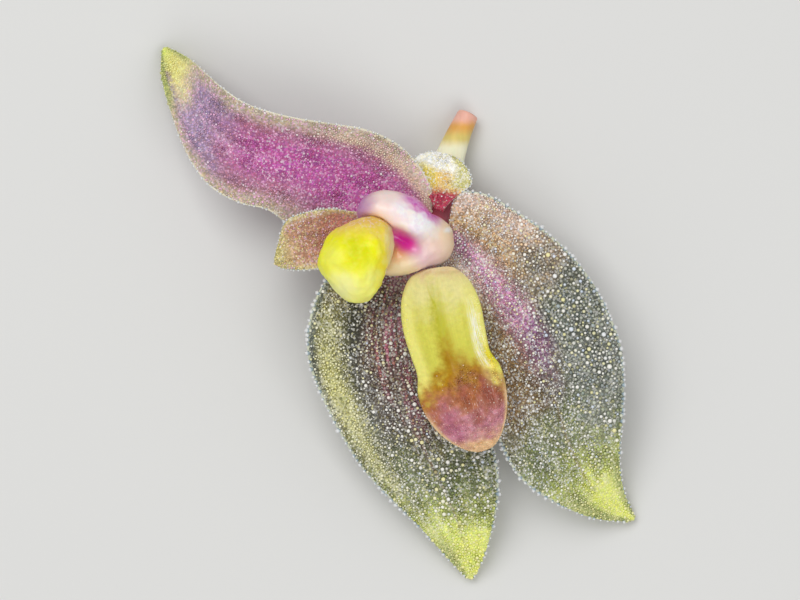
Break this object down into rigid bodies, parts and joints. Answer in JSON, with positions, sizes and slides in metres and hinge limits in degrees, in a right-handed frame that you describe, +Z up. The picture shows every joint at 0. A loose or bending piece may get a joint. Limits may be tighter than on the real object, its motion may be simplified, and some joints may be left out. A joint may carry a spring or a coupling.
{
  "type": "orchid flower",
  "caption": "Single flower of a miniature orchid as picked, with papillose translucent sepals, fleshy lip, column and yellow anther cap, lying on its back.",
  "frame": {"origin": "below the middle of the flower's box, on the surface it lies on", "axes": "+Z up, out of the flower's face; the lip and the lateral sepals point to -Y, the dorsal sepal to -X and +Y, and the cut stalk to +Y"},
  "size_m": [0.0074, 0.0084, 0.0028],
  "materials": {
    "dorsal_sepal": "magenta plant tissue with clear glassy cells",
    "lateral_sepals": "translucent olive plant tissue with clear glassy cells",
    "petals": "brownish pink plant tissue with fine clear cells",
    "lip": "waxy yellow-green plant tissue, orange and mauve at its end",
    "column": "smooth waxy white tissue, flushed magenta at the stigma",
    "anther_cap": "smooth waxy yellow plant tissue",
    "stalk": "smooth pale yellow-green plant tissue"
  },
  "bodies": {
    "root": {"dorsal_sepal": "dorsal_sepal", "lateral_sepal_left": "lateral_sepals", "lateral_sepal_right": "lateral_sepals", "petal_left": "petals", "petal_right": "petals", "lip": "lip", "column": "column", "anther_cap": "anther_cap", "ovary_and_pedicel": "stalk"}
  },
  "joints": []
}
